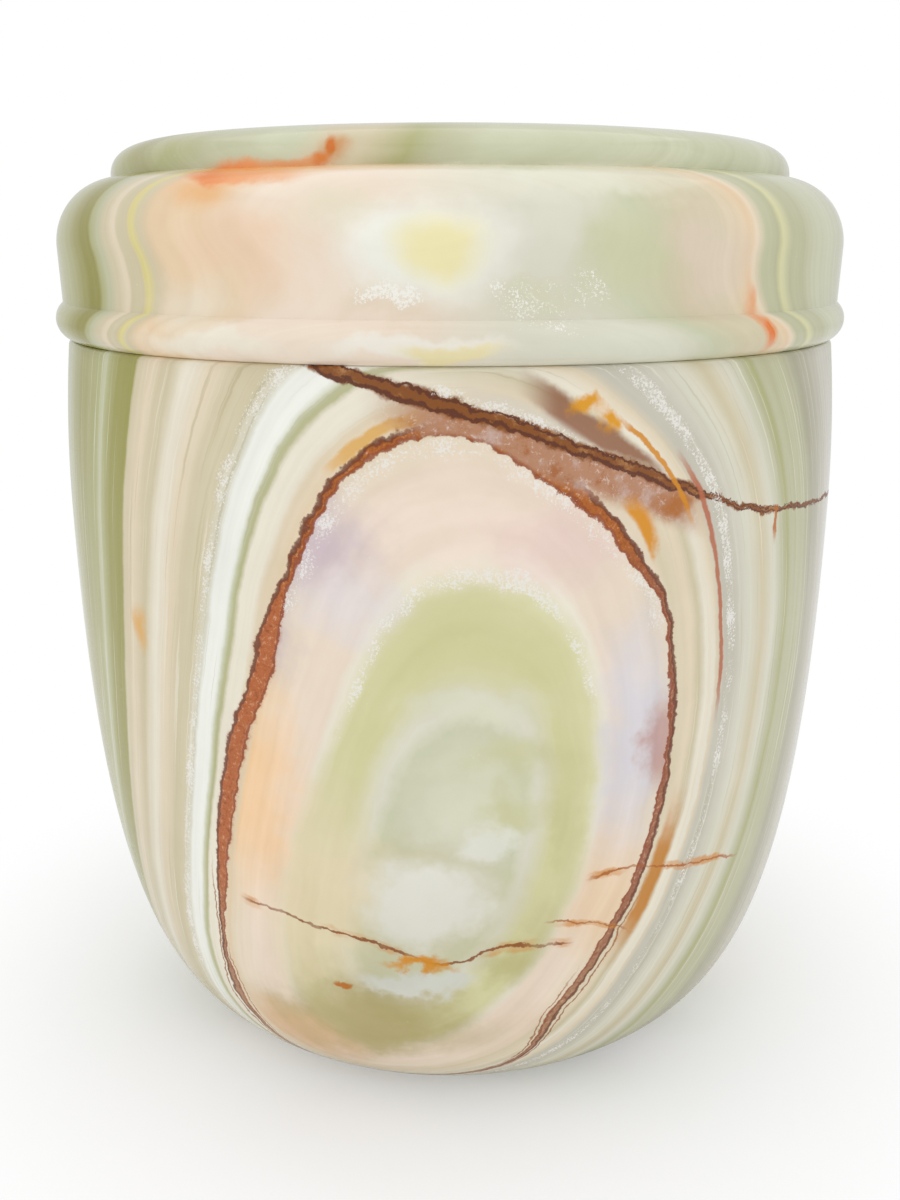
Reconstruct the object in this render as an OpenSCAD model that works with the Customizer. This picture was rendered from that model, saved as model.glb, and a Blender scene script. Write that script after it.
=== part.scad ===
// Cremation urn in banded onyx: a turned, hollow stone body and a stepped stone lid
// that lifts off. The body stands on its flat base and the lid rests on its rim.
// Z is the turning axis, the base lies on z = 0 and every size is in millimetres.

/* [Body] */
// Greatest diameter of the body, at the belly
belly_dia = 240; // [180:1:320]
// Height of the belly above the base
belly_h = 172; // [130:1:230]
// Height of the rim above the belly
upper_h = 49; // [36:1:80]
// How far the rim draws in from the belly, on the radius
rim_in = 3; // [1:0.5:12]
// Diameter of the flat the urn stands on
base_dia = 120; // [90:1:150]
// Fullness of the flank: 0.95 keeps it upright until low down, 0.5 tapers it early
flank = 0.86; // [0.5:0.01:0.95]
// Fullness of the foot: how far the base runs out flat before it turns up
foot = 0.6; // [0.3:0.01:0.9]
// Small rounding on the outer edge of the rim
rim_round = 1.2; // [0.5:0.1:3]

/* [Hollow] */
// Thickness of the stone round the hollow, square to the outside
wall = 16; // [9:0.5:22]
// Thickness of the floor
floor_t = 20; // [12:1:32]
// Width of the flat land on the rim that carries the lid
land = 17; // [12:0.5:24]
// Depth of the straight mouth that locates the lid
mouth_h = 13; // [8:0.5:24]

/* [Lid] */
// Height of the rounded drum, from the rim to the foot of the top step
drum_h = 45.3; // [40:0.1:64]
// Thickness of the disc on top, in the middle
disc_h = 11.7; // [6:0.1:24]
// How far the drum stands out beyond the rim, on the radius
drum_out = 1.4; // [0:0.1:6]
// How much narrower the drum is at the bead than at its shoulder, on the radius
drum_lean = 0.4; // [0:0.1:3]
// Rounding of the shoulder
shoulder_r = 19; // [8:0.5:21]
// Width of the step from the drum in to the disc on top
step_in = 16.6; // [6:0.1:40]
// Width of the soft edge of the top disc, on the radius
edge_w = 17; // [6:0.5:30]
// Rise from the edge of the top disc to its middle
crown = 1.4; // [0.5:0.1:3]

/* [Bead] */
// How far the bead stands out beyond the rim, on the radius
bead_out = 3.3; // [2:0.1:8]
// Radius of the bead's section
bead_r = 6.1; // [5:0.1:9]
// Height of the middle of the bead above the rim
bead_mid = 5.8; // [4:0.1:8]

/* [Underside of the lid] */
// How much shorter the spigot is than the mouth it drops into
spigot_short = 3; // [1:0.5:5]
// Thickness of the spigot ring
spigot_t = 10; // [6:0.5:16]
// Clearance all round between the spigot and the mouth
spigot_gap = 1; // [0.5:0.1:3]
// Thickness of stone left over the hollow of the lid
roof_t = 22; // [15:1:32]
// Rounding where the hollow's side meets its roof
roof_round = 12; // [2:1:14]

/* [Hidden] */
$fn = 180;
belly_r = belly_dia / 2;
rim_r = belly_r - rim_in;
mouth_r = rim_r - land;
body_h = belly_h + upper_h;
// The arc of the upper body, upright at the belly and ending at the rim
swell_r = (upper_h * upper_h + rim_in * rim_in) / 2 / rim_in;
swell_c = [belly_r - swell_r, belly_h];
drum_r = rim_r + drum_out;
disc_r = drum_r - step_in;
step_z = body_h + drum_h;
top_z = step_z + disc_h;
shoulder_c = [drum_r - shoulder_r, step_z - shoulder_r];
bead_c = [rim_r + bead_out - bead_r, body_h + bead_mid];
spigot_r = mouth_r - spigot_gap;
spigot_z = body_h - mouth_h + spigot_short;
hollow_r = spigot_r - spigot_t;
roof_z = top_z - roof_t;

// The four control points of the lower body, belly first
bowl = [
    [belly_r, belly_h],
    [belly_r, belly_h * (1 - flank)],
    [base_dia / 2 + (belly_r - base_dia / 2) * foot, 0],
    [base_dia / 2, 0]
];

// Points on an arc about c, from angle a to angle b
function arc(c, r, a, b, n) =
    [for (i = [0:n]) let (t = a + (b - a) * i / n) c + r * [cos(t), sin(t)]];

// The point at t on the cubic curve with control points p, and its direction there
function on_curve(p, t) =
    pow(1 - t, 3) * p[0] + 3 * pow(1 - t, 2) * t * p[1]
    + 3 * (1 - t) * t * t * p[2] + pow(t, 3) * p[3];
function heading(p, t) =
    let (d = pow(1 - t, 2) * (p[1] - p[0]) + 2 * (1 - t) * t * (p[2] - p[1])
        + t * t * (p[3] - p[2])) d / norm(d);

// Points along the curve, moved in square to it, from its end back to its start
function curve(p, n, inward = 0) =
    [for (i = [n:-1:0]) let (t = i / n, d = heading(p, t))
        on_curve(p, t) + inward * [d[1], -d[0]]];

// Body: outside from the base up to the rim, over the land, then down the inside
module body() {
    rim_a = asin((upper_h - rim_round) / swell_r);
    mouth_a = asin((upper_h - mouth_h) / swell_r);
    rim_edge = swell_c + swell_r * [cos(rim_a), sin(rim_a)];
    outside = concat(
        [[0, 0]],
        curve(bowl, 48),
        [for (p = arc(swell_c, swell_r, 0, rim_a, 14)) if (p[1] > belly_h) p],
        arc([rim_edge[0] - rim_round, body_h - rim_round], rim_round, 20, 90, 5)
    );
    cavity = concat(
        [for (p = curve(bowl, 48, wall)) if (p[1] > floor_t) p],
        [for (p = arc(swell_c, swell_r - wall, 0, mouth_a, 10))
            if (p[1] > belly_h && p[1] < body_h - mouth_h - wall / 4) p]
    );
    inside = concat(
        [[0, floor_t], [cavity[0][0], floor_t]],
        cavity,
        [[mouth_r, body_h - mouth_h], [mouth_r, body_h]]
    );
    color([0.79, 0.77, 0.63])
        rotate_extrude()
            polygon(concat(outside, [for (i = [len(inside) - 1:-1:0]) inside[i]]));
}

// Lid: from the crown out over the disc, shoulder, drum and bead, then underneath
module lid() {
    edge = [
        [disc_r, step_z + 1],
        [disc_r - 0.5, step_z + 0.6 * disc_h],
        [disc_r - 0.36 * edge_w, top_z - crown - 0.5],
        [disc_r - edge_w, top_z - crown]
    ];
    step_a = acos(max(0, (disc_r - shoulder_c[0]) / shoulder_r));
    neck_a = acos(min(1, (drum_r - drum_lean - bead_c[0]) / bead_r));
    seat_a = -asin(min(1, bead_mid / bead_r));
    outline = concat(
        [[0, top_z]],
        [for (i = [1:6]) [(disc_r - edge_w) * i / 7, top_z - crown * pow((i - 1) / 6, 2)]],
        curve(edge, 12),
        [[disc_r, step_z]],
        arc(shoulder_c, shoulder_r, step_a, 0, 16),
        arc(bead_c, bead_r, neck_a, seat_a, 16),
        [[spigot_r, body_h], [spigot_r, spigot_z + 1.5], [spigot_r - 1.5, spigot_z],
            [hollow_r, spigot_z], [hollow_r, roof_z - roof_round]],
        arc([hollow_r - roof_round, roof_z - roof_round], roof_round, 0, 90, 8),
        [[0, roof_z]]
    );
    color([0.82, 0.80, 0.66])
        rotate_extrude()
            polygon(outline);
}

body();
lid();
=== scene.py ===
import math

import bpy
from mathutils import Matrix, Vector


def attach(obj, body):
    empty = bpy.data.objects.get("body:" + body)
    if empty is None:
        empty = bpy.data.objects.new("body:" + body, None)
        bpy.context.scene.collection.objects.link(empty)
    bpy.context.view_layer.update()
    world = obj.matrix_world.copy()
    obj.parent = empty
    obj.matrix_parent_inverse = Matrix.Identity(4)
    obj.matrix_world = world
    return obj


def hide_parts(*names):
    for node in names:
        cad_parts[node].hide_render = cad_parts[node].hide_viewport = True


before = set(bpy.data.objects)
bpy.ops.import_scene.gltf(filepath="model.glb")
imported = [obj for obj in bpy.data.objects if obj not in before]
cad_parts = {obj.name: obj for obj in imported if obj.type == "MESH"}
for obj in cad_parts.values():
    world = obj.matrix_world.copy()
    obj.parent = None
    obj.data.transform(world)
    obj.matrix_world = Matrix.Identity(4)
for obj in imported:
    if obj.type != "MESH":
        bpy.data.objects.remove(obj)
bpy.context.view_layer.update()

scene = bpy.context.scene

# ---------------------------------------------------------------------------------------
# Body. A bowl-bottomed vessel turned from one block of banded onyx, hollowed out and
# polished outside, with a flat land on the rim for the lid. It stands on its flat base.
# ---------------------------------------------------------------------------------------
BELLY_R, BELLY_H, UPPER_H, RIM_IN = 120.0, 172.0, 49.0, 3.0
RIM_R, RIM_Z = BELLY_R - RIM_IN, BELLY_H + UPPER_H
MOUTH_R, MOUTH_H, WALL, FLOOR_T = 100.0, 13.0, 16.0, 20.0
BOWL = [(120, 172), (120, 24.08), (96, 0), (60, 0)]     # radius and height, belly to base
LIP = 1.2                                               # rounding of the rim's outer edge
SIDES = 360


def on_bowl(points, t, inward=0.0):
    """A point on the cubic curve through four control points, moved in square to it."""
    a, b, c, d = [Vector(p) for p in points]
    spot = (1-t)**3 * a + 3*(1-t)**2*t * b + 3*(1-t)*t*t * c + t**3 * d
    way = ((1-t)**2 * (b-a) + 2*(1-t)*t * (c-b) + t*t * (d-c)).normalized()
    return spot + inward * Vector((way.y, -way.x))


def sweep(middle, radius, start, end, steps):
    """Points on an arc, in degrees from start to end."""
    turns = [math.radians(start + (end-start) * i / steps) for i in range(steps + 1)]
    return [(middle[0] + radius*math.cos(a), middle[1] + radius*math.sin(a)) for a in turns]


def node(tree, kind, inputs=None, **settings):
    """Adds a node. Each input is a plain value or the socket that feeds it."""
    made = tree.nodes.new(kind)
    for name, value in settings.items():
        setattr(made, name, value)
    for name, value in (inputs or {}).items():
        if isinstance(value, bpy.types.NodeSocket):
            tree.links.new(value, made.inputs[name])
        else:
            made.inputs[name].default_value = value
    return made


def new_group(name, inputs, outputs, kind="ShaderNodeTree"):
    """An empty node group with its inputs and outputs. Returns group, in and out nodes."""
    made = bpy.data.node_groups.new(name, kind)
    for label, socket_kind, value in inputs:
        socket = made.interface.new_socket(label, in_out="INPUT", socket_type=socket_kind)
        if value is not None:
            socket.default_value = value
    for label, socket_kind in outputs:
        made.interface.new_socket(label, in_out="OUTPUT", socket_type=socket_kind)
    return made, node(made, "NodeGroupInput"), node(made, "NodeGroupOutput")


# The lathe: every point of the outline is carried once round the Z axis.
lathe, given, result = new_group("lathe", [
    ("Outline", "NodeSocketGeometry", None), ("Sides", "NodeSocketInt", 360),
    ("Material", "NodeSocketMaterial", None)], [("Turned", "NodeSocketGeometry")],
    "GeometryNodeTree")
count = node(lathe, "GeometryNodeAttributeDomainSize", {"Geometry": given.outputs["Outline"]})
around = node(lathe, "FunctionNodeIntegerMath", {0: given.outputs["Sides"], 1: 1},
              operation="ADD").outputs[0]
skin = node(lathe, "GeometryNodeMeshGrid", {
    "Vertices X": count.outputs["Point Count"], "Vertices Y": around}).outputs["Mesh"]
index = node(lathe, "GeometryNodeInputIndex").outputs[0]
ring = node(lathe, "FunctionNodeIntegerMath", {0: index, 1: around},
            operation="DIVIDE_FLOOR").outputs[0]
turn = node(lathe, "FunctionNodeIntegerMath", {0: index, 1: around},
            operation="MODULO").outputs[0]
turn = node(lathe, "ShaderNodeMath", {0: turn, 1: given.outputs["Sides"]}, operation="DIVIDE")
turn = node(lathe, "ShaderNodeMath", {0: turn.outputs[0], 1: 2 * math.pi}, operation="MULTIPLY")
point = node(lathe, "GeometryNodeSampleIndex", {
    "Geometry": given.outputs["Outline"], "Index": ring,
    "Value": node(lathe, "GeometryNodeInputPosition").outputs[0]}, data_type="FLOAT_VECTOR")
point = node(lathe, "ShaderNodeVectorRotate", {
    "Vector": point.outputs["Value"], "Angle": turn.outputs[0]}, rotation_type="Z_AXIS")
skin = node(lathe, "GeometryNodeSetPosition", {"Geometry": skin, "Position": point.outputs[0]})
skin = node(lathe, "GeometryNodeMergeByDistance", {
    "Geometry": skin.outputs[0], "Distance": 0.000002})
skin = node(lathe, "GeometryNodeFlipFaces", {"Mesh": skin.outputs[0]})
skin = node(lathe, "GeometryNodeRealizeInstances", {"Geometry": skin.outputs[0]})
skin = node(lathe, "GeometryNodeSetMaterial", {
    "Geometry": skin.outputs[0], "Material": given.outputs["Material"]})
lathe.links.new(skin.outputs[0], result.inputs["Turned"])


def turned(name, outline, material):
    """A closed solid of revolution from an outline in mm that starts and ends on the axis."""
    line = bpy.data.meshes.new(name)
    line.from_pydata([(r / 1000, 0, z / 1000) for r, z in outline],
                     [(i, i + 1) for i in range(len(outline) - 1)], [])
    made = bpy.data.objects.new(name, line)
    scene.collection.objects.link(made)
    work = made.modifiers.new("lathe", "NODES")
    work.node_group = lathe
    for socket in lathe.interface.items_tree:
        if socket.name == "Sides":
            work[socket.identifier] = SIDES
        if socket.name == "Material":
            work[socket.identifier] = material
    bpy.context.view_layer.update()
    mesh = bpy.data.meshes.new_from_object(
        made.evaluated_get(bpy.context.evaluated_depsgraph_get()))
    made.modifiers.remove(work)
    made.data = mesh
    mesh.name = name
    mesh.shade_smooth()
    mesh.set_sharp_from_angle(angle=math.radians(32))
    return made


swell_r = (UPPER_H**2 + RIM_IN**2) / 2 / RIM_IN
swell_c = (BELLY_R - swell_r, BELLY_H)
rim_a = math.degrees(math.asin((UPPER_H - LIP) / swell_r))
mouth_a = math.degrees(math.asin((UPPER_H - MOUTH_H) / swell_r))
outside = [(0, 0), (20, 0), (40, 0)]
outside += [tuple(on_bowl(BOWL, 1 - i/90)) for i in range(91)]
outside += sweep(swell_c, swell_r, 0, rim_a, 24)[1:]
outside += sweep((RIM_R - LIP, RIM_Z - LIP), LIP, 12, 90, 8)
inside = [tuple(on_bowl(BOWL, 1 - i/60, WALL)) for i in range(61)]
inside = [p for p in inside if p[1] > FLOOR_T]
inside += [p for p in sweep(swell_c, swell_r - WALL, 0, mouth_a, 14)
           if BELLY_H < p[1] < RIM_Z - MOUTH_H - 4]
inside = [(0, FLOOR_T), (30, FLOOR_T), (60, FLOOR_T), (inside[0][0], FLOOR_T)] + inside
inside += [(MOUTH_R, RIM_Z - MOUTH_H), (MOUTH_R, RIM_Z)]


def calc(tree, op, a, b=0.0, c=0.0):
    """One sum on numbers."""
    return node(tree, "ShaderNodeMath", {0: a, 1: b, 2: c}, operation=op).outputs[0]


def span(tree, value, low, high, out_low=0.0, out_high=1.0):
    """Runs smoothly from out_low to out_high as value goes from low to high."""
    return node(tree, "ShaderNodeMapRange", {
        "Value": value, "From Min": low, "From Max": high, "To Min": out_low,
        "To Max": out_high}, clamp=True, interpolation_type="SMOOTHSTEP").outputs[0]


def cloud(tree, where, scale, detail=2.0, rough=0.5, size=2.0):
    """Smooth noise from -size/2 to size/2; scale is in lumps per metre."""
    made = node(tree, "ShaderNodeTexNoise", {
        "Vector": where, "Scale": scale, "Detail": detail, "Roughness": rough})
    return calc(tree, "MULTIPLY_ADD", made.outputs["Fac"], size, -size / 2)


def stone(r, g, b):
    """A colour written as it looks, from 0 to 255, for a colour socket."""
    part = [c/255 for c in (r, g, b)]
    return [c/12.92 if c <= 0.04045 else ((c + 0.055) / 1.055) ** 2.4 for c in part] + [1]


def bands(tree, depth, colours):
    """Colours of the layers, each at its depth in mm."""
    low, high = colours[0][0], colours[-1][0]
    level = node(tree, "ShaderNodeMapRange", {
        "Value": depth, "From Min": low, "From Max": high}, clamp=True).outputs[0]
    made = node(tree, "ShaderNodeValToRGB", {"Fac": level})
    stops = made.color_ramp.elements
    for i, (at, colour) in enumerate(colours):
        place = (at - low) / (high - low)
        stop = stops[i] if i < 2 else stops.new(place)
        stop.position = place
        stop.color = stone(*colour)
        if i == 0:
            stops[1].position = 1.0
    return made.outputs["Color"]


def mix(tree, amount, a, b):
    """Colour b over colour a."""
    return node(tree, "ShaderNodeMix", {"Factor": amount, 6: a, 7: b},
                data_type="RGBA").outputs[2]


def course(tree, along, points):
    """The height of a crack, in mm, at each place along it, in mm."""
    low, high = points[0][0], points[-1][0]
    bottom = min(p[1] for p in points) - 1
    top = max(p[1] for p in points) + 1
    level = node(tree, "ShaderNodeMapRange", {
        "Value": along, "From Min": low, "From Max": high}, clamp=True).outputs[0]
    made = node(tree, "ShaderNodeFloatCurve", {"Value": level})
    line = made.mapping.curves[0]
    while len(line.points) < len(points):
        line.points.new(0.5, 0.5)
    for point, (x, z) in zip(line.points, points):
        point.location = ((x - low) / (high - low), (z - bottom) / (top - bottom))
    made.mapping.update()
    return calc(tree, "MULTIPLY_ADD", made.outputs[0], top - bottom, bottom)


FLOAT, VECTOR = "NodeSocketFloat", "NodeSocketVector"

# How deep in the stone's layers a point lies, in mm: the layers are nearly flat sheets
# square to Y, bowed, tilted and twisted, and they wander a little.
layers, given, result = new_group("layer depth", [
    ("Position", VECTOR, None), ("Middle", FLOAT, 0.11), ("Span", FLOAT, 0.1),
    ("Bow", FLOAT, 10.0), ("X", FLOAT, 0.0), ("Z", FLOAT, 0.0), ("XZ", FLOAT, 0.0),
    ("XXZ", FLOAT, 0.0), ("ZZ", FLOAT, 0.0), ("XZZ", FLOAT, 0.0), ("ZZZ", FLOAT, 0.0),
    ("Wander", FLOAT, 1.0)], [("Depth", FLOAT), ("Streak", FLOAT)])
part = node(layers, "ShaderNodeSeparateXYZ", {0: given.outputs["Position"]})
x = calc(layers, "MULTIPLY", part.outputs["X"], 10.0)
z = calc(layers, "DIVIDE", calc(layers, "SUBTRACT", part.outputs["Z"],
                                given.outputs["Middle"]), given.outputs["Span"])
xx, zz, xz = (calc(layers, "MULTIPLY", x, x), calc(layers, "MULTIPLY", z, z),
              calc(layers, "MULTIPLY", x, z))
depth = calc(layers, "MULTIPLY", part.outputs["Y"], -1000.0)
depth = calc(layers, "MULTIPLY_ADD", xx, given.outputs["Bow"], depth)
for label, term in (("X", x), ("Z", z), ("XZ", xz), ("XXZ", calc(layers, "MULTIPLY", xx, z)),
                    ("ZZ", zz), ("XZZ", calc(layers, "MULTIPLY", x, zz)),
                    ("ZZZ", calc(layers, "MULTIPLY", z, zz))):
    shift = calc(layers, "MULTIPLY", term, given.outputs[label])
    depth = calc(layers, "SUBTRACT", depth, shift)
where = given.outputs["Position"]
wander = calc(layers, "ADD", cloud(layers, where, 22, 1.0, 0.5, 1.5),
              cloud(layers, where, 75, 2.0, 0.5, 1.0))
wander = calc(layers, "ADD", wander, cloud(layers, where, 330, 2.0, 0.6, 0.5))
depth = calc(layers, "MULTIPLY_ADD", wander, given.outputs["Wander"], depth)
sheet = node(layers, "ShaderNodeCombineXYZ", {
    0: calc(layers, "MULTIPLY", part.outputs["X"], 9.0), 1: calc(layers, "MULTIPLY", depth, 0.55),
    2: calc(layers, "MULTIPLY", part.outputs["Z"], 9.0)})
layers.links.new(depth, result.inputs["Depth"])
layers.links.new(cloud(layers, sheet.outputs[0], 1.0, 3.0, 0.6, 1.0), result.inputs["Streak"])

# A soft-edged patch about a centre, in metres, from 0 outside to 1 inside. Its edge strays
# by as many millimetres as Ragged says, the way the noise in Stray goes.
patch, given, result = new_group("patch", [
    ("Position", VECTOR, None), ("Centre", VECTOR, None), ("Reach", VECTOR, None),
    ("Softness", FLOAT, 0.5), ("Ragged", FLOAT, 8.0), ("Stray", VECTOR, None)],
    [("Mask", FLOAT)])
stray = node(patch, "ShaderNodeVectorMath", {
    0: given.outputs["Stray"], 1: (0.5, 0.5, 0.5)}, operation="SUBTRACT")
stray = node(patch, "ShaderNodeVectorMath", {
    0: stray.outputs[0], "Scale": calc(patch, "MULTIPLY", given.outputs["Ragged"], 0.004)},
    operation="SCALE")
off = node(patch, "ShaderNodeVectorMath", {0: given.outputs["Position"],
           1: stray.outputs[0]}, operation="ADD")
off = node(patch, "ShaderNodeVectorMath", {0: off.outputs[0],
           1: given.outputs["Centre"]}, operation="SUBTRACT")
off = node(patch, "ShaderNodeVectorMath", {0: off.outputs[0], 1: given.outputs["Reach"]},
           operation="DIVIDE")
far = node(patch, "ShaderNodeVectorMath", {0: off.outputs[0]}, operation="LENGTH")
patch.links.new(span(patch, far.outputs["Value"], 1.0,
                     calc(patch, "SUBTRACT", 1.0, given.outputs["Softness"])),
                result.inputs["Mask"])

# A ragged line where a signed distance in mm crosses zero.
seam, given, result = new_group("stained crack", [
    ("Distance", FLOAT, 0.0), ("Width", FLOAT, 1.0), ("Ragged", FLOAT, 1.0),
    ("Stray", FLOAT, 0.5)], [("Mask", FLOAT)])
lumps = calc(seam, "SUBTRACT", given.outputs["Stray"], 0.5)
gap = calc(seam, "MULTIPLY_ADD", lumps, given.outputs["Ragged"], given.outputs["Distance"])
gap = calc(seam, "DIVIDE", calc(seam, "ABSOLUTE", gap), given.outputs["Width"])
seam.links.new(span(seam, gap, 1.0, 0.45), result.inputs["Mask"])

# Sugary white crystals scattered through the stone.
sugar, given, result = new_group("crystals", [
    ("Position", VECTOR, None), ("Amount", FLOAT, 0.5)], [("Mask", FLOAT)])
fine = node(sugar, "ShaderNodeTexNoise", {
    "Vector": given.outputs["Position"], "Scale": 1500.0, "Detail": 3.0, "Roughness": 0.8})
broad = node(sugar, "ShaderNodeTexNoise", {
    "Vector": given.outputs["Position"], "Scale": 130.0, "Detail": 2.0, "Roughness": 0.5})
level = calc(sugar, "MULTIPLY_ADD", broad.outputs["Fac"], 0.5, fine.outputs["Fac"])
level = calc(sugar, "MULTIPLY_ADD", given.outputs["Amount"], 0.26, level)
sugar.links.new(span(sugar, level, 1.0, 1.1), result.inputs["Mask"])


# The polish: smooth and glossy, a little wavy, duller and pitted where the stone is open.
polish, given, result = new_group("polish", [
    ("Position", VECTOR, None), ("Open", FLOAT, 0.0), ("Dull", FLOAT, 0.0)],
    [("Roughness", FLOAT), ("Height", FLOAT)])
broad = cloud(polish, given.outputs["Position"], 26, 1.0, 0.6, 1.0)
pores = cloud(polish, given.outputs["Position"], 900, 2.0, 0.7, 1.0)
rough = span(polish, broad, -0.25, 0.25, 0.1, 0.18)
rough = calc(polish, "MULTIPLY_ADD", pores, 0.05, rough)
rough = calc(polish, "MULTIPLY_ADD", given.outputs["Open"], 0.28, rough)
rough = calc(polish, "MULTIPLY_ADD", given.outputs["Dull"], 0.12, rough)
pits = calc(polish, "MULTIPLY_ADD", pores, 2.0, -0.6)
height = calc(polish, "MULTIPLY", pits, given.outputs["Open"])
height = calc(polish, "MULTIPLY_ADD", pores, 0.05, height)
height = calc(polish, "MULTIPLY_ADD", broad, 0.3, height)
polish.links.new(rough, result.inputs["Roughness"])
polish.links.new(height, result.inputs["Height"])


def use(tree, group, inputs):
    """Places a node group in a material."""
    made = node(tree, "ShaderNodeGroup", node_tree=group)
    for name, value in inputs.items():
        if isinstance(value, bpy.types.NodeSocket):
            tree.links.new(value, made.inputs[name])
        else:
            made.inputs[name].default_value = value
    return made.outputs


strays = {}


def edge_noise(tree, where, scale):
    """The noise that roughens edges: one node for each scale that a material uses."""
    key = (tree.as_pointer(), scale)
    if key not in strays:
        strays[key] = node(tree, "ShaderNodeTexNoise", {
            "Vector": where, "Scale": scale, "Detail": 4.0, "Roughness": 0.62})
    return strays[key].outputs


def spot(tree, where, centre, reach, soft=0.5, ragged=3.0, scale=60.0):
    """A patch given in mm."""
    return use(tree, patch, {
        "Position": where, "Centre": [c/1000 for c in centre],
        "Reach": [c/1000 for c in reach], "Softness": soft, "Ragged": ragged,
        "Stray": edge_noise(tree, where, scale)["Color"]})["Mask"]


def crack(tree, where, distance, width, ragged=1.0, scale=260.0):
    """A stained line, width in mm."""
    return use(tree, seam, {"Distance": distance, "Width": width, "Ragged": ragged,
                            "Stray": edge_noise(tree, where, scale)["Fac"]})["Mask"]


def raw_stone(name, lift, scale, shape):
    """A stone material: material, tree, place, layer depth and streak, and x, y, z in mm."""
    made = bpy.data.materials.new(name)
    made.use_nodes = True
    tree = made.node_tree
    tree.nodes.clear()
    where = node(tree, "ShaderNodeMapping", {
        "Vector": node(tree, "ShaderNodeTexCoord").outputs["Object"],
        "Location": (0, 0, lift), "Scale": scale}).outputs[0]
    layer = use(tree, layers, {"Position": where, "Wander": 0.6, **shape})
    part = node(tree, "ShaderNodeSeparateXYZ", {0: where})
    in_mm = [calc(tree, "MULTIPLY", part.outputs[axis], 1000.0) for axis in "XYZ"]
    return made, tree, where, layer["Depth"], layer["Streak"], *in_mm


def polish_stone(tree, where, colour, dull, open_stone=0.0):
    """Ends a stone material: the colour deepened by the polish, its gloss and its pits."""
    deep = node(tree, "ShaderNodeHueSaturation", {"Color": colour, "Saturation": 1.14,
                                                  "Value": 1.0}).outputs[0]
    finish = use(tree, polish, {"Position": where, "Open": open_stone, "Dull": dull})
    bump = node(tree, "ShaderNodeBump", {"Strength": 0.7, "Distance": 0.0002,
                                         "Height": finish["Height"]}).outputs[0]
    shader = node(tree, "ShaderNodeBsdfPrincipled", {
        "Base Color": deep, "Roughness": finish["Roughness"], "Normal": bump})
    node(tree, "ShaderNodeOutputMaterial", {"Surface": shader.outputs[0]})


body_onyx, tree, where, depth, streak, x_mm, y_mm, z_mm = raw_stone(
    "banded onyx, body", 0.0033, (0.991, 1, 0.9974), {
        "Middle": 0.11, "Span": 0.1, "Bow": 10.0, "X": -0.2, "Z": 9.6, "XZ": -14.0,
        "XXZ": -3.2, "ZZ": -0.3, "XZZ": 12.1, "ZZZ": 1.9})

# The stone's colours, named as a mason would sort them
WHITE, IVORY, PEARL = (246, 247, 240), (240, 234, 218), (224, 222, 206)
CREAM, SAND, STRAW = (230, 217, 193), (213, 203, 175), (223, 212, 154)
PEACH, BLUSH, ORANGE = (236, 212, 181), (241, 226, 209), (218, 160, 114)
LIME, PALE_GREEN, WILLOW = (220, 218, 176), (205, 207, 180), (193, 193, 163)
SAGE, OLIVE, MOSS = (179, 179, 134), (160, 157, 98), (146, 141, 70)
GREY, TAUPE, RUST = (203, 199, 185), (173, 170, 148), (176, 112, 76)

# the layers left and right of the vein, each at its depth in mm, and those behind
left = bands(tree, depth, [
    (48, SAGE), (60, OLIVE), (70, SAGE), (71.5, PALE_GREEN), (73, SAGE), (76, OLIVE),
    (80.5, OLIVE), (81, SAND), (84, CREAM), (87.5, SAND), (90.5, IVORY), (93, CREAM),
    (96, SAND), (98, SAND), (99.5, PEARL), (100, WHITE), (102, WHITE),
    (102.5, PALE_GREEN), (103, SAGE), (103.5, IVORY), (105, IVORY), (105.5, CREAM),
    (108, PEACH)])
right = bands(tree, depth, [
    (48, GREY), (60, GREY), (72.5, TAUPE), (78, WILLOW), (83.5, WILLOW), (84.5, SAGE),
    (86, WILLOW), (89, PEARL), (92, SAND), (95, PEARL), (98, GREY), (100.5, GREY),
    (101.5, CREAM), (103, IVORY), (104, SAND), (105, CREAM), (108, SAND)])
behind = bands(tree, depth, [
    (-137, WILLOW), (-129, CREAM), (-122, WILLOW), (-117, IVORY), (-112, CREAM),
    (-108.5, PEACH), (-107.4, ORANGE), (-106.6, RUST), (-105.8, CREAM), (-101, IVORY),
    (-96, PEARL), (-91, SAGE), (-84, SAGE), (-79, PALE_GREEN), (-77.8, IVORY), (-70, CREAM),
    (-63, PEACH), (-61.8, ORANGE), (-60.8, CREAM), (-50, PALE_GREEN), (-41, SAGE),
    (-39.4, PALE_GREEN), (-28, PEARL), (-7, SAGE), (-5.4, PALE_GREEN), (6, CREAM),
    (24, SAGE), (25.4, PALE_GREEN), (36, PALE_GREEN), (41, SAGE), (48, WILLOW)])
side = span(tree, x_mm, -25.0, 25.0)
colour = mix(tree, side, left, right)
colour = mix(tree, span(tree, depth, 44.0, 54.0), behind, colour)

# inside the vein: cream, a thin white ring, olive green, and a clouded white heart
heart = bands(tree, depth, [
    (107, CREAM), (110, BLUSH), (112.5, BLUSH), (113, IVORY), (114, LIME),
    (115.5, LIME), (116.5, PEARL), (117, PALE_GREEN), (118.5, PEARL), (119.5, PEARL)])
colour = mix(tree, span(tree, depth, 106.8, 107.5), colour, heart)


def tint(tree, base, mask, rgb, amount=1.0):
    """Lays one colour over the base through a mask."""
    if amount < 1.0:
        mask = calc(tree, "MULTIPLY", mask, amount)
    return mix(tree, mask, base, stone(*rgb))


def both(tree, a, *others):
    """Where all the masks meet."""
    for other in others:
        a = calc(tree, "MULTIPLY", a, other)
    return a


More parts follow.
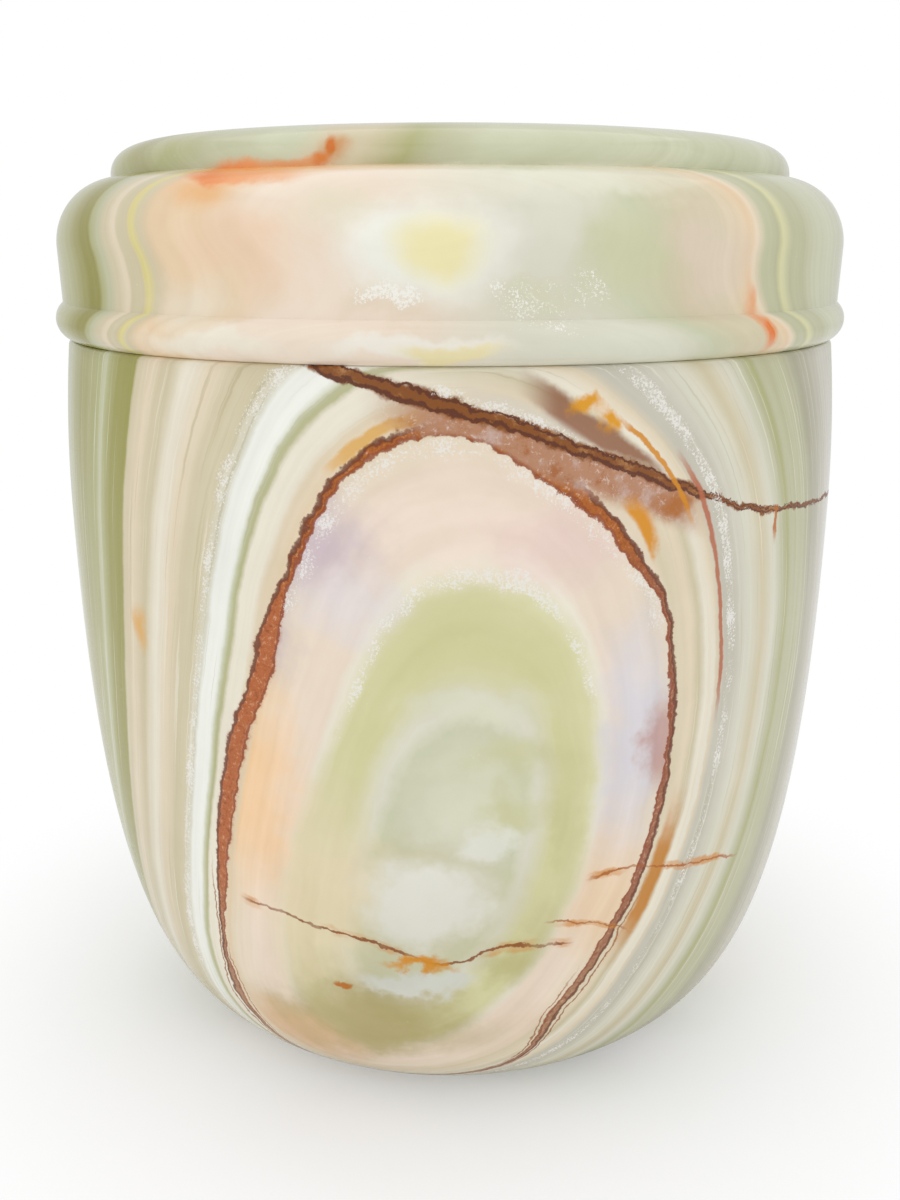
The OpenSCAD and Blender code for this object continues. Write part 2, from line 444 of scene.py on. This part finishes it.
def grained(tree, base, streak, amount):
    """Lightens and darkens the colour along the layers."""
    return node(tree, "ShaderNodeHueSaturation", {
        "Color": base, "Value": calc(tree, "MULTIPLY_ADD", streak, amount, 1.0),
        "Saturation": calc(tree, "MULTIPLY_ADD", streak, -1.2 * amount, 1.0)}).outputs[0]


# the tints of the heart: lavender by the vein, pink above, peach and khaki below
for rgb, amount, centre, reach in (
        ((252, 235, 221), 0.9, (6, -105, 187), (38, 60, 19)),
        ((240, 216, 210), 0.7, (26, -105, 181), (20, 60, 16)),
        ((206, 190, 200), 0.85, (-32, -105, 182), (22, 60, 22)),
        ((206, 190, 200), 0.6, (-44, -105, 160), (10, 60, 22)),
        ((232, 226, 228), 0.7, (-22, -105, 166), (22, 60, 14)),
        ((221, 218, 224), 0.9, (47, -105, 128), (15, 60, 48)),
        ((250, 215, 176), 0.95, (-52, -105, 114), (20, 60, 52)),
        ((240, 214, 184), 0.8, (44, -105, 80), (17, 60, 30)),
        ((224, 190, 152), 0.9, (-42, -90, 30), (30, 60, 18)),
        ((232, 212, 192), 0.7, (22, -90, 36), (30, 60, 22))):
    mask = both(tree, spot(tree, where, centre, reach, 0.85, 6.0, 60.0),
                span(tree, depth, 114.6, 113.2), span(tree, depth, 106.9, 107.5))
    colour = tint(tree, colour, mask, rgb, amount)
for rgb, amount, centre, reach, soft in (
        ((236, 221, 190), 0.95, (-44, -110, 88), (24, 60, 46), 0.8),
        ((226, 218, 184), 0.8, (-31, -110, 100), (17, 60, 36), 0.9),
        ((216, 214, 168), 0.75, (10, -120, 153), (34, 60, 13), 0.9),
        ((226, 226, 204), 0.75, (4, -118, 118), (22, 60, 22), 0.9),
        ((206, 205, 160), 0.7, (16, -118, 112), (13, 60, 10), 0.9),
        ((206, 204, 158), 0.8, (31, -115, 104), (9, 60, 34), 0.9),
        ((205, 204, 160), 0.7, (16, -120, 127), (20, 60, 9), 0.9),
        ((224, 224, 202), 0.8, (6, -120, 140), (24, 60, 6), 0.9),
        ((170, 158, 106), 0.9, (-22, -105, 46), (38, 60, 24), 0.9),
        ((194, 187, 142), 0.6, (-8, -118, 84), (30, 60, 27), 0.6),
        ((186, 180, 128), 0.7, (18, -110, 64), (16, 60, 12), 0.9),
        ((198, 192, 148), 0.6, (26, -115, 74), (14, 60, 22), 0.9),
        ((240, 224, 196), 0.6, (-26, -118, 92), (16, 60, 18), 0.9),
        ((233, 232, 222), 0.95, (-6, -118, 84), (23, 60, 19), 0.6),
        ((236, 236, 228), 0.7, (10, -118, 104), (9, 60, 9), 0.6),
        ((214, 216, 208), 0.85, (-8, -112, 58), (20, 60, 6), 0.6)):
    mask = both(tree, spot(tree, where, centre, reach, soft, 6.0, 60.0),
                span(tree, depth, 112.2, 113.6))
    colour = tint(tree, colour, mask, rgb, amount)
mask = both(tree, spot(tree, where, (-20, -100, 38), (44, 60, 18), 0.95, 8.0, 60.0),
            span(tree, depth, 107.6, 110.5))
colour = tint(tree, colour, mask, (183, 171, 124), 0.85)
mask = both(tree, spot(tree, where, (-36, -105, 72), (22, 60, 36), 0.95, 6.0, 60.0),
            span(tree, depth, 110.5, 112.5))
colour = tint(tree, colour, mask, (228, 216, 184), 0.8)
mask = spot(tree, where, (55, -105, 127), (8, 30, 17), 0.7, 3.0, 120.0)
mask = both(tree, mask, span(tree, depth, 106.8, 107.0))
colour = tint(tree, colour, mask, (196, 158, 152), 0.8)

# fine banding along the layers, and slow clouding
colour = grained(tree, colour, streak, 0.27)
fine = node(tree, "ShaderNodeCombineXYZ", {
    0: calc(tree, "MULTIPLY", x_mm, 0.012), 1: calc(tree, "MULTIPLY", depth, 1.7),
    2: calc(tree, "MULTIPLY", z_mm, 0.012)}).outputs[0]
fine = cloud(tree, fine, 1.0, 2.0, 0.6, 1.0)
flanks = span(tree, depth, 107.0, 103.0)
colour = tint(tree, colour, both(tree, span(tree, fine, 0.1, 0.2), flanks), (242, 238, 222), 0.5)
colour = tint(tree, colour, both(tree, span(tree, fine, -0.1, -0.22), flanks),
              (168, 158, 116), 0.35)
haze = cloud(tree, where, 38, 3.0, 0.6, 1.0)
colour = grained(tree, colour, haze, 0.14)

# the rust-brown vein that closes into a ring, thick and ragged on the lower left
thick = both(tree, span(tree, z_mm, 178.0, 150.0), span(tree, z_mm, 50.0, 112.0),
             span(tree, x_mm, 0.0, -20.0))
thick_right = both(tree, span(tree, z_mm, 128.0, 95.0), span(tree, z_mm, 25.0, 60.0),
                   span(tree, x_mm, 10.0, 30.0))
girth = calc(tree, "MULTIPLY_ADD", thick, 1.05, 0.36)
girth = calc(tree, "MULTIPLY_ADD", thick_right, 0.45, girth)
girth = calc(tree, "MULTIPLY_ADD", both(tree, span(tree, z_mm, 60.0, 35.0),
                                        span(tree, x_mm, -20.0, -40.0)), 0.35, girth)
girth = calc(tree, "MULTIPLY_ADD", both(tree, span(tree, z_mm, 160.0, 180.0),
                                        span(tree, x_mm, 0.0, 15.0)), 0.35, girth)
girth = calc(tree, "MULTIPLY", girth, calc(tree, "ADD", cloud(tree, where, 55, 2.0, 0.5, 0.8),
                                           1.0))
grit = cloud(tree, where, 700, 4.0, 0.8, 1.0)
from_vein = calc(tree, "MULTIPLY_ADD", girth, 0.45, calc(tree, "SUBTRACT", depth, 107.35))
for masks, shift in (
        ((span(tree, z_mm, 150.0, 118.0), span(tree, x_mm, -30.0, -50.0)), 1.3),
        ((span(tree, z_mm, 48.0, 18.0), span(tree, x_mm, -60.0, -30.0)), 5.0),
        ((span(tree, z_mm, 160.0, 180.0), span(tree, x_mm, -6.0, 26.0)), -1.7)):
    from_vein = calc(tree, "MULTIPLY_ADD", both(tree, *masks), shift, from_vein)
mask = both(tree, crack(tree, where, from_vein, girth, 1.5, 260.0), span(tree, y_mm, 0.0, -30.0))
open_stone = calc(tree, "MULTIPLY", mask, 0.7)
rust = mix(tree, span(tree, x_mm, -20.0, 20.0), stone(184, 114, 80), stone(160, 108, 86))
rust = mix(tree, span(tree, z_mm, 50.0, 90.0), stone(172, 132, 104), rust)
rust = mix(tree, span(tree, z_mm, 160.0, 190.0), rust, stone(176, 104, 54))
rust = tint(tree, rust, span(tree, grit, 0.04, 0.16), (224, 180, 150), 0.7)
rust = tint(tree, rust, span(tree, grit, -0.04, -0.14), (140, 78, 52), 0.75)
colour = mix(tree, mask, colour, rust)
for offset, width, rgb, high, low in (
        (-1.0, 0.26, (106, 56, 38), 400, 300), (1.0, 0.18, (146, 78, 52), 400, 300),
        (-2.6, 0.16, (150, 92, 60), 92, 70), (2.4, 0.12, (160, 104, 70), 62, 48)):
    edge = calc(tree, "MULTIPLY_ADD", girth, -offset * 0.66, from_vein)
    mask = both(tree, crack(tree, where, edge, width, 1.2, 260.0),
                span(tree, y_mm, 0.0, -30.0), span(tree, z_mm, high, low))
    colour = tint(tree, colour, mask, rgb, 0.85)

# amber outside the ring at the upper left, ochre beside it at the lower right
mask = both(tree, crack(tree, where, calc(tree, "SUBTRACT", depth, 106.35), 0.5, 0.6, 120.0),
            spot(tree, where, (-17, -105, 207), (20, 60, 13), 0.5, 3.0))
colour = tint(tree, colour, mask, (226, 178, 104), 0.8)
mask = both(tree, crack(tree, where, calc(tree, "SUBTRACT", depth, 104.6), 1.5, 0.9, 90.0),
            spot(tree, where, (54, -82, 84), (24, 60, 34), 0.6, 5.0))
colour = tint(tree, colour, mask, (198, 134, 66), 0.9)
mask = spot(tree, where, (-82.5, -85, 151), (4, 20, 9), 0.9, 2.0, 90.0)
colour = tint(tree, colour, mask, (226, 180, 116), 0.9)

# the main crack: a dark fissure across the shoulder, with mauve and tan stain about it
fissure = course(tree, x_mm, [
    (-62, 236), (-40, 227.5), (-25, 222), (-11, 218), (2, 214), (13, 211), (21, 208),
    (35, 202.5), (46, 198.5), (56, 193.5), (68, 189), (77, 185), (85, 183.5), (95, 182),
    (119, 178)])
above = calc(tree, "SUBTRACT", z_mm, fissure)
above = calc(tree, "ADD", above, calc(tree, "ADD", cloud(tree, where, 80, 3.0, 0.6, 3.2),
                                      cloud(tree, where, 420, 3.0, 0.7, 1.6)))
front = span(tree, y_mm, -12.0, -50.0)
lumpy = cloud(tree, where, 150, 4.0, 0.7, 1.0)
mask = both(tree, span(tree, above, 2.2, 0.6), span(tree, above, -12.0, -7.0),
            span(tree, x_mm, -22.0, -2.0), span(tree, x_mm, 66.0, 54.0),
            span(tree, from_vein, 0.5, 0.1), front)
fill = tint(tree, stone(186, 142, 116), span(tree, lumpy, 0.0, 0.2), (206, 184, 176), 0.8)
fill = tint(tree, fill, span(tree, lumpy, -0.05, -0.2), (168, 108, 72), 0.8)
fill = tint(tree, fill, span(tree, grit, 0.05, 0.14), (226, 208, 198), 0.6)
colour = mix(tree, mask, colour, fill)
wedge = calc(tree, "MULTIPLY_ADD", x_mm, 0.72, calc(tree, "SUBTRACT", z_mm, 232.4))
brown = tint(tree, stone(146, 100, 76), span(tree, lumpy, 0.05, 0.3), (190, 154, 130), 0.7)
mask = both(tree, crack(tree, where, wedge, 5.0, 5.0, 120.0), span(tree, x_mm, 14.0, 26.0),
            span(tree, x_mm, 56.0, 46.0), span(tree, above, 0.5, 3.0), front)
colour = mix(tree, calc(tree, "MULTIPLY", mask, 0.9), colour, brown)
mask = both(tree, spot(tree, where, (46, -105, 181), (6, 60, 14), 0.6, 3.0, 120.0),
            span(tree, depth, 105.6, 106.6), span(tree, depth, 107.6, 107.2))
colour = tint(tree, colour, mask, (222, 152, 66), 0.9)
mask = spot(tree, where, (55, -95, 190), (7, 60, 5), 0.7, 3.0, 120.0)
colour = tint(tree, colour, mask, (176, 112, 62), 0.85)
mask = both(tree, span(tree, above, 0.5, 1.5), span(tree, above, 7.0, 4.5),
            span(tree, x_mm, 0.0, 10.0), span(tree, x_mm, 52.0, 42.0), front,
            span(tree, wedge, -1.5, -4.5))
colour = tint(tree, colour, mask, (222, 214, 200), 0.75)
for centre, reach in (((32, -105, 214.6), (5.5, 60, 3.2)), ((37.5, -105, 210.6), (4, 60, 4))):
    mask = spot(tree, where, centre, reach, 0.7, 2.5, 120.0)
    colour = tint(tree, colour, mask, (226, 160, 56), 0.95)
girth = course(tree, x_mm, [
    (-60, 1.6), (-30, 2.1), (-10, 2.5), (5, 2.5), (25, 2.2), (45, 2.2), (57, 2.3), (66, 1.0),
    (85, 1.0), (104, 0.7), (119, 0.3)])
girth = calc(tree, "MULTIPLY", girth, calc(tree, "ADD", cloud(tree, where, 70, 3.0, 0.6, 1.2),
                                           0.92))
mask = both(tree, crack(tree, where, above, calc(tree, "MULTIPLY", girth, 1.15), 4.0, 180.0),
            front)
open_stone = calc(tree, "MAXIMUM", open_stone, mask)
brown = tint(tree, stone(136, 84, 46), span(tree, lumpy, 0.02, 0.25), (200, 154, 112), 0.8)
colour = mix(tree, mask, colour, brown)
for offset, width, ragged in ((0.5, 0.36, 4.0), (-0.6, 0.24, 5.0)):
    strand = calc(tree, "MULTIPLY_ADD", girth, offset, above)
    mask = both(tree, crack(tree, where, strand, calc(tree, "MULTIPLY", girth, width), ragged,
                            260.0), front)
    colour = tint(tree, colour, mask, (94, 44, 18), 0.95)

drop = calc(tree, "SUBTRACT", x_mm, 85.8)
mask = both(tree, crack(tree, where, drop, 0.7, 1.6, 260.0), span(tree, above, -10.0, -5.0),
            span(tree, above, 1.5, 0.5), front)
colour = tint(tree, colour, mask, (186, 112, 56), 0.9)

# thin stained lines beside the ring on the right, and the hair cracks low down
for level, width, rgb, centre, reach in (
        (100.6, 0.42, (186, 116, 90), (72, -80, 172), (30, 60, 48)),
        (102.6, 0.35, (216, 148, 66), (50, -90, 199), (18, 60, 19)),
        (101.9, 0.5, (236, 231, 216), (62, -80, 90), (24, 60, 90))):
    mask = both(tree, crack(tree, where, calc(tree, "SUBTRACT", depth, level), width, 0.6),
                spot(tree, where, centre, reach, 0.3, 3.0))
    colour = tint(tree, colour, mask, rgb, 0.9)
for points, width, rgb, amount in (
        ([(-58, 77.5), (-48, 77), (-37, 74), (-21, 71), (-14, 69), (-7, 66), (-1, 65),
          (6, 67), (11, 69.5), (19, 70), (34, 69)], 0.6, (136, 74, 36), 0.9),
        ([(35, 88.5), (49, 90), (58, 87.5), (76, 83), (84, 79)], 0.5, (176, 108, 64), 0.9),
        ([(24, 77), (36, 75), (43, 72), (50, 68)], 0.4, (168, 106, 66), 0.8)):
    ends = both(tree, span(tree, x_mm, points[0][0], points[0][0] + 5),
                span(tree, x_mm, points[-1][0], points[-1][0] - 5))
    off = calc(tree, "SUBTRACT", z_mm, course(tree, x_mm, points))
    off = calc(tree, "ADD", off, cloud(tree, where, 110, 3.0, 0.6, 3.4))
    rusty = both(tree, crack(tree, where, off, width * 3.4, 4.0, 120.0), ends, front,
                 span(tree, cloud(tree, where, 70, 2.0, 0.5, 1.0), -0.1, 0.12))
    colour = tint(tree, colour, rusty, (214, 150, 84), 0.75)
    off = calc(tree, "ADD", off, cloud(tree, where, 420, 3.0, 0.7, 1.4))
    faint = span(tree, cloud(tree, where, 95, 2.0, 0.5, 1.0), -0.3, 0.05, 0.35, 1.0)
    mask = both(tree, crack(tree, where, off, width, 2.6, 260.0), ends, front, faint)
    colour = tint(tree, colour, mask, rgb, amount)
mask = spot(tree, where, (-9, -112, 64), (11, 60, 3), 0.8, 4.0, 120.0)
colour = tint(tree, colour, mask, (216, 150, 70), 0.9)
mask = spot(tree, where, (-29.5, -105, 55), (3.6, 60, 1.8), 0.5, 2.0, 150.0)
colour = tint(tree, colour, mask, (186, 112, 52), 0.9)

# one more healed crack across the back
off = calc(tree, "SUBTRACT", z_mm, course(tree, x_mm, [
    (-112, 96), (-80, 108), (-52, 121), (-30, 126), (-6, 137), (20, 141), (52, 156), (78, 160)]))
off = calc(tree, "ADD", off, cloud(tree, where, 90, 4.0, 0.65, 5.0))
rear = both(tree, span(tree, y_mm, 14.0, 50.0), span(tree, x_mm, 78.0, 60.0))
mask = both(tree, crack(tree, where, off, 1.8, 4.0, 150.0), rear,
            span(tree, cloud(tree, where, 60, 2.0, 0.5, 1.0), -0.15, 0.15))
colour = tint(tree, colour, mask, (214, 158, 100), 0.7)
mask = both(tree, crack(tree, where, off, 0.55, 1.6, 260.0), rear)
colour = tint(tree, colour, mask, (132, 74, 40), 0.85)
open_stone = calc(tree, "MAXIMUM", open_stone, mask)

# sugary crystals where the layers are open: round the ring and down both flanks
rime = both(tree, span(tree, from_vein, 0.1, 0.7), span(tree, from_vein, 2.4, 0.9),
            span(tree, z_mm, 130.0, 175.0))
rime = calc(tree, "MAXIMUM", rime, both(
    tree, span(tree, depth, 97.2, 98.6), span(tree, depth, 100.2, 99.2)))
rime = calc(tree, "MAXIMUM", rime, both(
    tree, span(tree, depth, 113.0, 113.4), span(tree, depth, 114.0, 113.7),
    span(tree, z_mm, 120.0, 150.0)))
rime = calc(tree, "MAXIMUM", rime, both(
    tree, span(tree, above, 0.5, 2.5), span(tree, above, 6.0, 3.0), span(tree, x_mm, -14.0, 0.0),
    span(tree, x_mm, 52.0, 36.0), span(tree, wedge, -2.0, -5.0)))
specks = use(tree, sugar, {"Position": where, "Amount": rime})["Mask"]
colour = tint(tree, colour, both(tree, specks, front), (243, 241, 236), 0.8)

polish_stone(tree, where, colour, specks, open_stone)
body = turned("stone_body", outside + inside[::-1], body_onyx)
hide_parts("body")
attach(body, "root")

# ---------------------------------------------------------------------------------------
# Lid. One turned piece of the same onyx: a rounded drum with a bead at its foot and a
# low disc on top. A spigot ring under it drops into the mouth and the drum rests on the rim.
# ---------------------------------------------------------------------------------------
DRUM_R, DISC_R, STEP_Z, TOP_Z, EDGE_W, CROWN = 118.4, 101.8, 266.3, 278.0, 17.0, 1.4
SHOULDER = 19.0                                         # rounding of the drum's upper edge
BEAD, BEAD_IN, BEAD_UP, BEAD_NECK = 6.1, 2.85, 5.8, 3.8  # its radius, place and width at the top
SPIGOT_R, SPIGOT_Z, CHAMFER = 99.0, 211.0, 1.5
HOLLOW_R, HOLLOW_Z, HOLLOW_ROUND = 89.0, 256.0, 12.0
DISC_EDGE = [(101.8, 267.3), (101.3, 273.32), (95.68, 276.1), (84.8, 276.6)]
lid_line = [(0, TOP_Z)]
lid_line += [((DISC_R - EDGE_W) * i / 7, TOP_Z - CROWN * ((i - 1) / 6)**2)
             for i in range(1, 7)]
lid_line += [tuple(on_bowl(DISC_EDGE, 1 - i/24)) for i in range(25)]
lid_line += [(DISC_R, STEP_Z)]
lid_line += sweep((DRUM_R - SHOULDER, STEP_Z - SHOULDER), SHOULDER,
                  math.degrees(math.acos((DISC_R - DRUM_R + SHOULDER) / SHOULDER)), 0, 30)
lid_line += sweep((RIM_R - BEAD_IN, RIM_Z + BEAD_UP), BEAD,
                  math.degrees(math.acos(BEAD_NECK / BEAD)),
                  -math.degrees(math.asin(BEAD_UP / BEAD)), 26)
lid_line += [(SPIGOT_R, RIM_Z), (SPIGOT_R, SPIGOT_Z + CHAMFER), (SPIGOT_R - CHAMFER, SPIGOT_Z),
             (HOLLOW_R, SPIGOT_Z), (HOLLOW_R, HOLLOW_Z - HOLLOW_ROUND)]
lid_line += sweep((HOLLOW_R - HOLLOW_ROUND, HOLLOW_Z - HOLLOW_ROUND), HOLLOW_ROUND, 0, 90, 12)
lid_line += [(0, HOLLOW_Z)]

lid_onyx, tree, where, depth, streak, x_mm, y_mm, z_mm = raw_stone(
    "banded onyx, lid", 0.0073, (0.981, 1, 0.976), {
        "Middle": 0.245, "Span": 0.03, "Bow": 20.0, "X": 3.4, "Z": -1.9, "XZ": 3.9,
        "ZZ": -15.1})

left = bands(tree, depth, [
    (52, PALE_GREEN), (60, PALE_GREEN), (70, WILLOW), (75, SAGE), (80, SAGE), (87, OLIVE),
    (91, MOSS), (94, MOSS), (95, SAGE), (97, WILLOW), (99, SAND), (101.5, CREAM),
    (102, SAND), (104, SAND), (104.5, STRAW), (105, STRAW), (106, SAND),
    (108, PEACH), (113, PEACH), (116, BLUSH), (119, BLUSH)])
right = bands(tree, depth, [
    (52, PALE_GREEN), (60, PALE_GREEN), (67, WILLOW), (77, PALE_GREEN), (84, PALE_GREEN),
    (89, WILLOW), (92.5, WILLOW), (95, LIME), (96, WILLOW), (98.5, WILLOW),
    (100, CREAM), (101, PEACH), (105.5, SAND), (109, SAND), (113, PALE_GREEN),
    (116, PEARL), (119, PEARL)])
behind = bands(tree, depth, [
    (-134, WILLOW), (-127, CREAM), (-120, WILLOW), (-113, CREAM), (-103, SAGE),
    (-101.6, PALE_GREEN), (-94, IVORY), (-86, CREAM), (-81.6, PEACH), (-80.6, ORANGE),
    (-79.4, CREAM), (-70, PALE_GREEN), (-60, SAGE), (-58.6, PALE_GREEN), (-48, PEARL),
    (-38, SAND), (-30, SAGE), (-28.6, PALE_GREEN), (-16, PEARL), (3, SAGE),
    (4.4, PALE_GREEN), (16, PEARL), (36, SAGE), (37.4, PALE_GREEN), (46, PALE_GREEN),
    (54, WILLOW)])
colour = mix(tree, span(tree, x_mm, -14.0, 18.0), left, right)
colour = mix(tree, span(tree, depth, 50.0, 58.0), behind, colour)

# the disc is cut from further back in the block: olive and pale green, with a rusty nick
across = calc(tree, "MULTIPLY_ADD", calc(tree, "SUBTRACT", z_mm, 271.0), -0.7, x_mm)
across = calc(tree, "ADD", across, cloud(tree, where, 60, 3.0, 0.6, 9.0))
edge_line = bands(tree, across, [
    (-104, PALE_GREEN), (-86, PALE_GREEN), (-80, WILLOW), (-73, SAGE), (-60, WILLOW),
    (-44, PALE_GREEN), (-36, PALE_GREEN), (-31, SAND), (-20, SAND), (-10, SAGE),
    (-2, WILLOW), (6, PALE_GREEN), (60, PALE_GREEN), (104, PALE_GREEN)])
on_disc = both(tree, span(tree, z_mm, 266.8, 267.4), span(tree, y_mm, -48.0, -74.0))
colour = mix(tree, on_disc, colour, edge_line)

on_drum = span(tree, z_mm, 268.2, 266.8)
for rgb, amount, centre, reach, soft, ragged in (
        ((239, 211, 184), 0.85, (-46, -105, 248), (19, 60, 16), 0.9, 0.5),
        ((236, 226, 206), 0.8, (-62, -95, 236), (16, 60, 12), 0.9, 0.5),
        ((232, 230, 212), 0.7, (24, -110, 264), (48, 60, 7), 0.8, 0.5),
        ((206, 208, 172), 0.85, (40, -110, 246), (17, 60, 15), 0.9, 0.5),
        ((225, 210, 192), 0.85, (60, -100, 247), (14, 60, 18), 0.9, 0.5),
        ((230, 222, 198), 0.7, (-26, -110, 256), (16, 60, 10), 0.9, 0.5),
        ((234, 220, 200), 0.8, (-14, -115, 237), (16, 60, 7), 0.6, 0.6),
        ((218, 217, 192), 0.8, (20, -112, 238), (14, 60, 7), 0.8, 0.6),
        ((246, 246, 236), 1.0, (-5, -118, 249), (27, 60, 15), 0.6, 0.3),
        ((248, 240, 196), 1.0, (-2, -118, 249.5), (15, 60, 10.5), 0.75, 0.25),
        # the last four are no stone colour: pale bands laid along the front of the bead's crown,
        # a painted highlight
        ((243, 239, 228), 0.9, (-7, -118, 227.5), (26, 60, 3.4), 0.5, 0.3),
        ((238, 226, 176), 0.8, (0, -118, 226.5), (15, 60, 2.8), 0.6, 0.3),
        ((242, 236, 220), 0.8, (-56, -100, 227), (26, 60, 4.5), 0.7, 0.3),
        ((222, 224, 206), 0.7, (40, -110, 227), (26, 60, 4.5), 0.7, 0.3)):
    mask = both(tree, spot(tree, where, centre, reach, soft, 10.0 * ragged, 60.0), on_drum)
    colour = tint(tree, colour, mask, rgb, amount)

smooth = calc(tree, "MULTIPLY", streak, span(tree, depth, 108.0, 103.0, 0.5, 1.0))
colour = grained(tree, colour, smooth, 0.26)
haze = cloud(tree, where, 38, 3.0, 0.6, 1.0)
colour = grained(tree, colour, haze, 0.14)

# rust where iron got in: along the shoulder on the left, at the nick and on the right
for level, width, rgb, centre, reach in (
        (101.4, 1.7, (236, 156, 108), (82, -75, 238), (14, 60, 20)),
        (101.4, 0.8, (232, 122, 70), (84, -75, 232), (10, 60, 14))):
    line = calc(tree, "SUBTRACT", depth, level)
    line = calc(tree, "MULTIPLY_ADD", span(tree, z_mm, 240.0, 222.0), -4.0, line)
    mask = both(tree, crack(tree, where, line, width, 1.4, 150.0),
                spot(tree, where, centre, reach, 0.7, 3.0), on_drum)
    colour = tint(tree, colour, mask, rgb, 0.9)
for rgb, amount, centre, reach, soft in (
        ((240, 190, 140), 0.8, (-58, -92, 261.5), (13, 40, 6), 0.9),
        ((240, 156, 100), 0.95, (-50, -95, 265.6), (18, 40, 4.0), 0.8),
        ((232, 140, 84), 0.8, (-57, -92, 265), (9, 40, 2.4), 0.8),
        ((236, 176, 128), 0.7, (-42, -97, 265.6), (18, 40, 3.4), 0.9),
        ((232, 168, 118), 0.85, (-36, -96, 267.8), (12, 30, 2.0), 0.8),
        ((206, 150, 100), 0.85, (-27, -97, 271), (6, 30, 4.6), 0.9),
        ((208, 118, 58), 0.95, (-28.2, -97, 271.4), (2.0, 30, 3.6), 0.8),
        ((220, 136, 80), 0.9, (-30.4, -97, 268.6), (3.6, 30, 2.2), 0.8)):
    colour = tint(tree, colour, spot(tree, where, centre, reach, soft, 1.4, 90.0), rgb, amount)

rime = spot(tree, where, (20, -112, 236), (26, 60, 12), 0.9, 9.0)
rime = calc(tree, "MAXIMUM", spot(tree, where, (-13, -115, 237), (17, 60, 7), 0.8, 8.0),
            calc(tree, "MULTIPLY", rime, 0.72))
rime = calc(tree, "MULTIPLY", rime, 1.4)
specks = use(tree, sugar, {"Position": where, "Amount": rime})["Mask"]
colour = tint(tree, colour, both(tree, specks, span(tree, y_mm, -12.0, -50.0)),
              (250, 249, 242), 0.9)

polish_stone(tree, where, colour, specks)
lid = turned("stone_lid", lid_line[::-1], lid_onyx)
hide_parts("lid")
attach(lid, "root")

# ---------------------------------------------------------------------------------------
# Studio. A pale floor that runs out to white, a white surround, three broad soft boxes
# and a view from just above the rim, straight on to the ringed side.
# ---------------------------------------------------------------------------------------
scene.view_settings.view_transform = "Standard"
eye = bpy.data.objects.new("eye", bpy.data.cameras.new("eye"))
eye.data.sensor_width = 36
eye.data.lens = 37.8
eye.location = (0.0, -0.4112, 0.25)
eye.rotation_euler = (math.radians(73.9), 0, 0)
scene.collection.objects.link(eye)
scene.camera = eye


def soft_box(name, place, aim, size, power):
    """A rectangular lamp at place, turned to face aim."""
    lamp = bpy.data.lights.new(name, "AREA")
    lamp.shape = "RECTANGLE"
    lamp.size, lamp.size_y = size
    lamp.energy = power
    made = bpy.data.objects.new(name, lamp)
    made.location = place
    made.rotation_euler = (Vector(place) - Vector(aim)).to_track_quat("Z", "Y").to_euler()
    scene.collection.objects.link(made)


soft_box("left box", (-0.95, -0.75, 0.75), (0, 0, 0.14), (1.5, 1.5), 3.2)
soft_box("right box", (1.0, -0.6, 0.7), (0, 0, 0.14), (1.5, 1.5), 2.6)
soft_box("top box", (0, 0.1, 1.25), (0, 0, 0.14), (1.4, 1.4), 3.0)

surround = bpy.data.worlds.new("surround")
surround.use_nodes = True
scene.world = surround
tree = surround.node_tree
tree.nodes.clear()
ray = node(tree, "ShaderNodeLightPath")
lit = node(tree, "ShaderNodeBackground", {"Color": (1, 1, 1, 1), "Strength": 0.72})
seen = node(tree, "ShaderNodeBackground", {"Color": (1, 1, 1, 1), "Strength": 1.0})
pick = node(tree, "ShaderNodeMixShader", {
    0: ray.outputs["Is Camera Ray"], 1: lit.outputs[0], 2: seen.outputs[0]})
node(tree, "ShaderNodeOutputWorld", {"Surface": pick.outputs[0]})

floor_mesh = bpy.data.meshes.new("floor")
floor_mesh.from_pydata([(-4, -4, 0), (4, -4, 0), (4, 4, 0), (-4, 4, 0)], [], [(0, 1, 2, 3)])
floor = bpy.data.objects.new("floor", floor_mesh)
scene.collection.objects.link(floor)
paper = bpy.data.materials.new("floor paper")
paper.use_nodes = True
tree = paper.node_tree
tree.nodes.clear()
place = node(tree, "ShaderNodeTexCoord")
far = node(tree, "ShaderNodeVectorMath", {0: place.outputs["Object"]}, operation="LENGTH")
fade = span(tree, far.outputs["Value"], 0.07, 0.21, 0.3, 1.0)
ray = node(tree, "ShaderNodeLightPath")
white = calc(tree, "MULTIPLY", fade, ray.outputs["Is Camera Ray"])
matt = node(tree, "ShaderNodeBsdfDiffuse", {"Color": (0.93, 0.93, 0.93, 1)})
glow = node(tree, "ShaderNodeEmission", {"Color": (1, 1, 1, 1), "Strength": 1.0})
pick = node(tree, "ShaderNodeMixShader", {0: white, 1: matt.outputs[0], 2: glow.outputs[0]})
node(tree, "ShaderNodeOutputMaterial", {"Surface": pick.outputs[0]})
floor_mesh.materials.append(paper)
